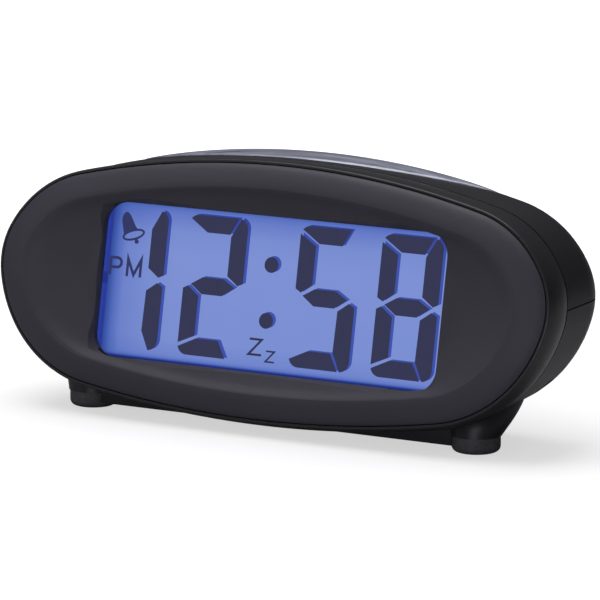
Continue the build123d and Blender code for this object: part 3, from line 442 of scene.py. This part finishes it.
# Snooze lens, in metres: an eye shape in plan, domed over the bar it covers. Depths are behind the face.
LENS_TIP = 0.0529  # half its length
LENS_TIP_BACK = 0.0282
LENS_FRONT_BACK = 0.0201
LENS_REAR_BACK = 0.0335
LENS_SEAT = 0.00105  # the skin's height above the bar's underside
LENS_EDGE = 0.00025
LENS_DOME = 0.00045
LENS_DOME_TURN = 0.75 * math.pi  # the dome's highest line lies behind the lens's middle
LENS_RIM = 0.0004
LENS_RIM_SHARE = 1 / 14  # of the depth, taken by each rounded rim
LENS_FADE = 0.45  # how slowly the lens thins out towards its tips
LENS_STEPS_ALONG = 96
LENS_STEPS_ACROSS = 24

# Edges that turn more sharply than this stay crisp.
LENS_CREASE = math.radians(40.0)
COIL_CREASE = math.radians(50.0)
CAD_CREASE = math.radians(28.0)

# Where the bar's underside is sampled.
BAR_HALF_LENGTH = 0.048
BAR_FRONT_BACK = 0.0205
BAR_REAR_BACK = 0.033
BAR_SAMPLES = (25, 18)


def placed(mesh, material, crease):
    """A new object in the scene from a finished mesh."""
    mesh.materials.append(material)
    mesh.shade_smooth()
    mesh.set_sharp_from_angle(angle=crease)
    made = bpy.data.objects.new(mesh.name, mesh)
    SCENE.collection.objects.link(made)
    return made


def underside_fit(bar):
    """Smooth surface through the underside of the bar: coefficients over its length and depth."""
    points = [vertex.co for vertex in bar.data.vertices]
    tree = BVHTree.FromPolygons(points, [tuple(face.vertices) for face in bar.data.polygons])
    rows, heights = [], []
    for x in np.linspace(-BAR_HALF_LENGTH, BAR_HALF_LENGTH, BAR_SAMPLES[0]):
        for y in np.linspace(BAR_FRONT_BACK, BAR_REAR_BACK, BAR_SAMPLES[1]):
            hit = tree.ray_cast(Vector((x, FACE_MIDDLE.y + y, 0.0)), Vector((0, 0, 1)))[0]
            if hit:
                rows.append(fit_terms(x, y))
                heights.append(hit.z)
    return np.linalg.lstsq(np.array(rows), np.array(heights), rcond=None)[0]


def fit_terms(x, y):
    """The polynomial terms of the fitted surface, even from left to right."""
    across, deep = (x / LENS_TIP) ** 2, y / LENS_REAR_BACK
    return [1, across, across ** 2, deep, deep ** 2, deep ** 3, across * deep, across * deep ** 2]


def lens_layers():
    """The lens's upper and lower points, column by column from its left tip to its right tip."""
    fit = underside_fit(NODES["snooze_bar"])
    top, bottom = [], []
    for column in range(LENS_STEPS_ALONG + 1):
        share = -math.cos(math.pi * column / LENS_STEPS_ALONG)
        x = LENS_TIP * share
        taper = max(0.0, 1 - share ** 2)
        front = LENS_TIP_BACK - (LENS_TIP_BACK - LENS_FRONT_BACK) * taper
        rear = LENS_TIP_BACK + (LENS_REAR_BACK - LENS_TIP_BACK) * taper
        for row in range(LENS_STEPS_ACROSS + 1):
            part = (1 - math.cos(math.pi * row / LENS_STEPS_ACROSS)) / 2
            y = front + (rear - front) * part
            under = float(np.dot(fit, fit_terms(x, y)))
            rise = LENS_EDGE + LENS_DOME * math.sin(LENS_DOME_TURN * part)
            rounding = LENS_RIM * (1 - min(1.0, min(part, 1 - part) / LENS_RIM_SHARE)) ** 2
            height = under + LENS_SEAT + (rise - rounding) * taper ** LENS_FADE
            top.append((x, FACE_MIDDLE.y + y, height))
            bottom.append((x, FACE_MIDDLE.y + y, under))
    return top, bottom


def lens_faces(count):
    """Faces of the closed lens over two layers of count points each: skins, long edges and tips."""
    stride = LENS_STEPS_ACROSS + 1
    faces = []
    for column in range(LENS_STEPS_ALONG):
        for row in range(LENS_STEPS_ACROSS):
            first = column * stride + row
            quad = (first, first + stride, first + stride + 1, first + 1)
            faces.append(quad)
            faces.append(tuple(count + index for index in reversed(quad)))
        for row in (0, LENS_STEPS_ACROSS):
            first = column * stride + row
            faces.append((first, count + first, count + first + stride, first + stride))
    for column in (0, LENS_STEPS_ALONG):
        for row in range(LENS_STEPS_ACROSS):
            first = column * stride + row
            faces.append((first, count + first, count + first + 1, first + 1))
    return faces


def snooze_lens():
    """Closed lens over the snooze bar: it swells towards the rear and thins out to nothing at both ends."""
    top, bottom = lens_layers()
    mesh = bpy.data.meshes.new("snooze_lens")
    mesh.from_pydata(top + bottom, [], lens_faces(len(top)))
    bm = bmesh.new()
    bm.from_mesh(mesh)
    bmesh.ops.remove_doubles(bm, verts=bm.verts, dist=0.000002)
    bmesh.ops.recalc_face_normals(bm, faces=bm.faces)
    bm.to_mesh(mesh)
    bm.free()
    return placed(mesh, smoked_clear("smoked_clear"), LENS_CREASE)


lens = snooze_lens()
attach(lens, "snooze")
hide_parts("snooze_bar")
assign(lens.data.materials[0], "snooze_bar")


# ---------------------------------------------------------------- springs and cells
# Snooze springs, in metres: two coils on the snooze board; the real springs shorten as the bar goes down,
# but these meshes keep one length.
COIL_PLACES = ((-0.026, 0.0109), (0.026, 0.0109))
COIL_FOOT = 0.0563
COIL_HEIGHT = 0.007
COIL_TURNS = 6
COIL_RADIUS = 0.002
COIL_WIRE = 0.00025  # the wire's radius
COIL_SIDES = 12
COIL_STEPS_PER_TURN = 36


def snooze_coils():
    """Both coil springs, each a round wire along a helix, with its cut ends closed."""
    steps = COIL_TURNS * COIL_STEPS_PER_TURN
    points, faces = [], []
    for place_x, place_y in COIL_PLACES:
        base = len(points)
        for step in range(steps + 1):
            turn = 2 * math.pi * step / COIL_STEPS_PER_TURN
            rise = COIL_FOOT + COIL_HEIGHT * step / steps
            for side in range(COIL_SIDES):
                around = 2 * math.pi * side / COIL_SIDES
                reach = COIL_RADIUS + COIL_WIRE * math.cos(around)
                x = place_x + reach * math.cos(turn)
                y = place_y + reach * math.sin(turn)
                points.append((x, y, rise + COIL_WIRE * math.sin(around)))
        for step in range(steps):
            for side in range(COIL_SIDES):
                near = base + step * COIL_SIDES
                far = near + COIL_SIDES
                following = (side + 1) % COIL_SIDES
                faces.append((near + side, far + side, far + following, near + following))
        faces.append(tuple(base + side for side in range(COIL_SIDES)))
        faces.append(tuple(base + steps * COIL_SIDES + side for side in reversed(range(COIL_SIDES))))
    mesh = bpy.data.meshes.new("snooze_coils")
    mesh.from_pydata(points, [], faces)
    return placed(mesh, wire, COIL_CREASE)


coils = snooze_coils()
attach(coils, "clock")
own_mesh(coils)
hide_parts("snooze_springs")


CELL_SPAN = 1 / 18  # length of the sleeve's pattern, in metres, over the middle of the clock


def cell_sleeve(name):
    """Plain sleeve of a cell: blue body, a gold band near one end, bare metal at the caps."""
    s = Shader(name)
    metal_cap, blue, gold = rgba(0.5, 0.5, 0.48), rgba(0.02, 0.09, 0.20), rgba(0.55, 0.42, 0.16)
    along = s.math("ADD", s.math("MULTIPLY", s.axes()[0], 1 / CELL_SPAN), 0.5)
    bands = s.ramp(along, [(0.0, metal_cap), (0.1, blue), (0.72, blue), (0.74, gold), (0.9, metal_cap)])
    scuffs = s.noise(700.0, 4.0)
    return s.surface(s.principled(
        Base_Color=s.mix(s.math("MULTIPLY", scuffs, 0.2), bands, rgba(0.3, 0.3, 0.3)),
        Roughness=0.3, Coat_Weight=0.4, Normal=s.bump(scuffs, 0.00001, 0.3),
    ))


assign(cell_sleeve("cell_sleeve"), "aaa_cells")


# ---------------------------------------------------------------- shading of the CAD meshes
for node in NODES.values():
    node.data.shade_smooth()
    node.data.set_sharp_from_angle(angle=CAD_CREASE)


# ---------------------------------------------------------------- floor, light and camera
FLOOR_REACH = 30.0  # metres from the clock to the floor's edges
# Painted glow on the floor, seen only by the camera: its strength rises with distance from the clock.
FLOOR_PAINTED_GLOW = [(0.05, 0.6), (0.16, 0.72), (0.45, 1.0)]  # (distance from the clock in metres, strength)


def floor():
    """White paper: lit near the clock, with a painted glow that is weaker near the clock and as bright as
    the backdrop further away, darker paper for reflections and bounce light, and clear from below.
    """
    mesh = bpy.data.meshes.new("floor")
    corners = [(x * FLOOR_REACH, y * FLOOR_REACH, 0) for x, y in ((-1, -1), (1, -1), (1, 1), (-1, 1))]
    mesh.from_pydata(corners, [], [(0, 1, 2, 3)])
    s = Shader("floor_paper")
    speck = s.math("MULTIPLY", s.noise(400.0, 2.0), 0.03)
    paper_tone = s.mix(speck, rgba(0.42, 0.42, 0.43), rgba(0.38, 0.38, 0.38))
    # Painted: the paper seen in reflections and bounce light is darker than the paper the camera sees.
    bounce_tone = s.mix(speck, rgba(0.38, 0.37, 0.38), rgba(0.34, 0.33, 0.34))
    paper = s.principled(Base_Color=paper_tone, Roughness=0.9)
    bounce = s.principled(Base_Color=bounce_tone, Roughness=0.9)
    distance = s.node("ShaderNodeVectorMath", operation="LENGTH")
    s.link(s.coords, distance.inputs[0])
    glow = s.node("ShaderNodeEmission")
    s.link(s.ramp(distance.outputs["Value"], FLOOR_PAINTED_GLOW), glow.inputs["Strength"])
    lifted_by_painted_glow = s.node("ShaderNodeAddShader")
    s.link(paper, lifted_by_painted_glow.inputs[0])
    s.link(glow.outputs[0], lifted_by_painted_glow.inputs[1])
    is_seen = s.node("ShaderNodeLightPath").outputs["Is Camera Ray"]
    from_above = s.blend(is_seen, bounce, lifted_by_painted_glow.outputs[0])
    mesh.materials.append(s.surface(s.blend(s.backfacing(), from_above, s.transparent())))
    plane = bpy.data.objects.new("floor", mesh)
    SCENE.collection.objects.link(plane)


LIGHT_TARGET = Vector((0, 0, 0.03))
ROOM_LEVELS = ((0.0, 0.10), (0.15, 0.06), (0.5, 0.12), (1.0, 0.45))  # (height of the gaze, brightness)


def softbox(name, place, size, power):
    """Rectangular area light in metres and watts, aimed at the clock."""
    light = bpy.data.lights.new(name, "AREA")
    light.shape = "RECTANGLE"
    light.size, light.size_y = size
    light.energy = power
    lamp = bpy.data.objects.new(name, light)
    lamp.location = place
    lamp.rotation_euler = (LIGHT_TARGET - Vector(place)).to_track_quat("-Z", "Y").to_euler()
    SCENE.collection.objects.link(lamp)


def studio():
    """White backdrop for the camera; a dim room, lighter overhead, for everything else."""
    world = bpy.data.worlds.new("studio")
    world.use_nodes = True
    tree = world.node_tree
    tree.nodes.clear()
    direction = tree.nodes.new("ShaderNodeTexCoord").outputs["Generated"]
    split = tree.nodes.new("ShaderNodeSeparateXYZ")
    tree.links.new(direction, split.inputs[0])
    room = tree.nodes.new("ShaderNodeValToRGB")
    while len(room.color_ramp.elements) < len(ROOM_LEVELS):
        room.color_ramp.elements.new(0.5)
    for element, (place, level) in zip(room.color_ramp.elements, ROOM_LEVELS):
        element.position = place
        element.color = rgba(level, level, level * 1.03)
    tree.links.new(split.outputs["Z"], room.inputs["Fac"])
    seen = tree.nodes.new("ShaderNodeBackground")
    seen.inputs["Color"].default_value = rgba(1.0, 1.0, 1.0)
    dim = tree.nodes.new("ShaderNodeBackground")
    tree.links.new(room.outputs["Color"], dim.inputs["Color"])
    mixed = tree.nodes.new("ShaderNodeMixShader")
    tree.links.new(tree.nodes.new("ShaderNodeLightPath").outputs["Is Camera Ray"], mixed.inputs[0])
    tree.links.new(dim.outputs[0], mixed.inputs[1])
    tree.links.new(seen.outputs[0], mixed.inputs[2])
    output = tree.nodes.new("ShaderNodeOutputWorld")
    tree.links.new(mixed.outputs[0], output.inputs["Surface"])
    SCENE.world = world
    SCENE.view_settings.view_transform = "Standard"
    softbox("overhead", (-0.15, 0.0, 1.0), (1.0, 0.7), 8.5)
    softbox("front_left", (-0.9, -0.8, 0.5), (0.5, 0.7), 1.8)
    softbox("front_low", (0.35, -1.3, 0.12), (0.7, 0.2), 3.2)


def camera():
    """Long-lens camera to the clock's right and a little above it."""
    level = math.cos(ELEVATION)
    towards = Vector((math.sin(AZIMUTH) * level, -math.cos(AZIMUTH) * level, math.sin(ELEVATION)))
    data = bpy.data.cameras.new("photo_camera")
    data.lens = FOCAL_LENGTH
    data.sensor_width = SENSOR
    data.shift_x, data.shift_y = SHIFT
    data.clip_end = 100.0
    eye = bpy.data.objects.new("photo_camera", data)
    eye.location = FACE_MIDDLE + towards * DISTANCE
    eye.rotation_mode = "QUATERNION"
    eye.rotation_quaternion = (-towards).to_track_quat("-Z", "Y")
    SCENE.collection.objects.link(eye)
    SCENE.camera = eye


floor()
studio()
camera()
